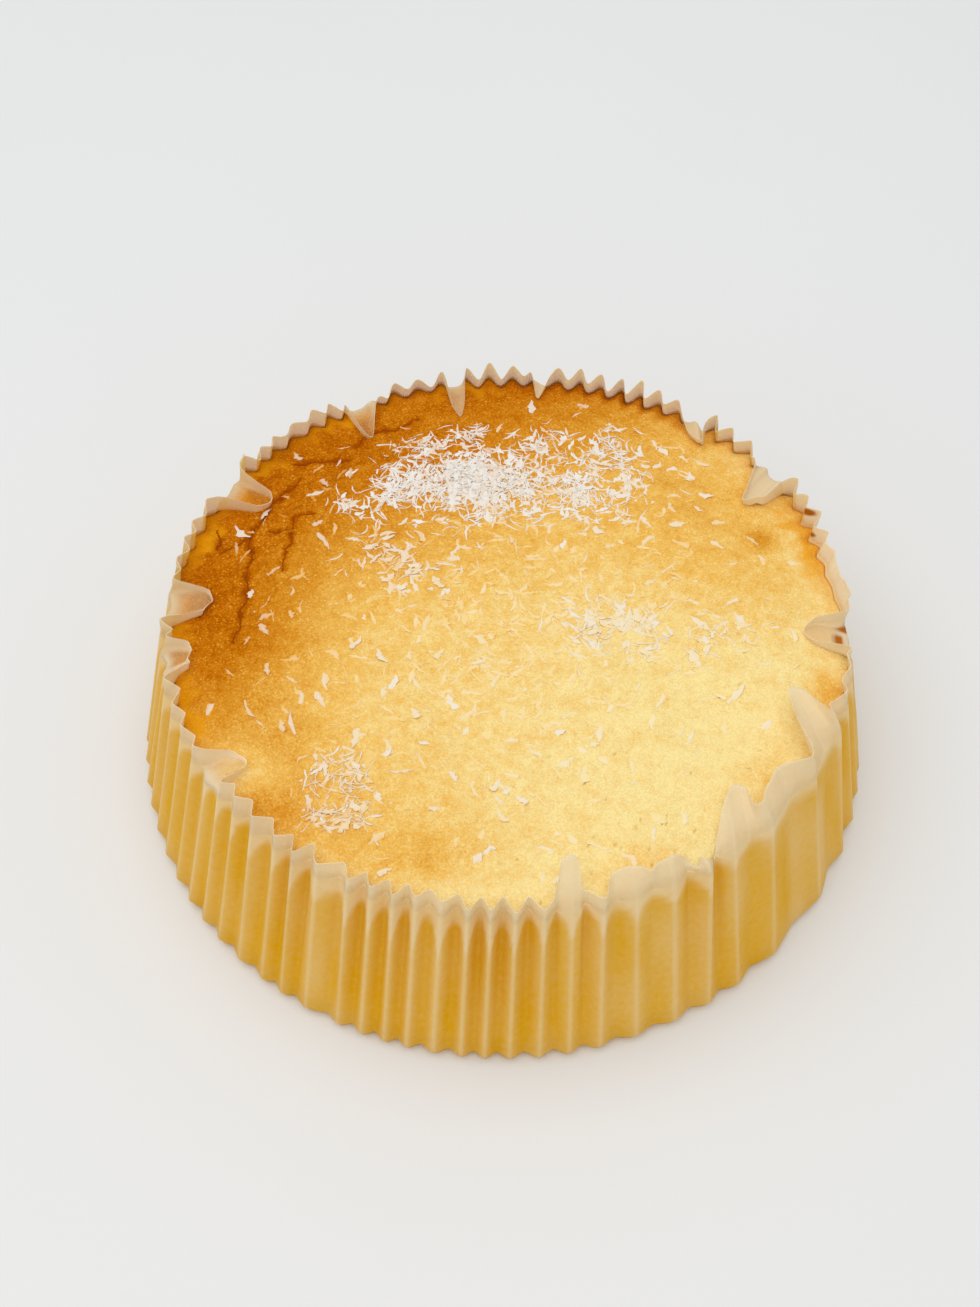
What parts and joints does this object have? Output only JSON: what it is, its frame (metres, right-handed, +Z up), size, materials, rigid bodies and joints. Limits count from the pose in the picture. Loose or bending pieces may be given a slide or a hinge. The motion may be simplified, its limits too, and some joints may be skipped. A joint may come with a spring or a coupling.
{
  "type": "baked cheesecake",
  "caption": "Whole round baked cheesecake with a browned, finely cracked crust and strewn coconut shreds, in its pleated baking paper case that leans in towards an uneven rim.",
  "frame": {"origin": "middle of the paper case's flat underside, on the surface that the cake stands on", "axes": "+Z is up, +X is to the right and -Y is the front, the side that faces the picture's camera"},
  "size_m": [0.1918, 0.1918, 0.0582],
  "materials": {
    "crust": "matt, finely porous baked crust, browned at the edge",
    "baking_paper": "thin translucent greaseproof paper, golden where the cake lies against it"
  },
  "bodies": {
    "root": {"cake": "crust", "paper_case": "baking_paper"}
  },
  "joints": []
}
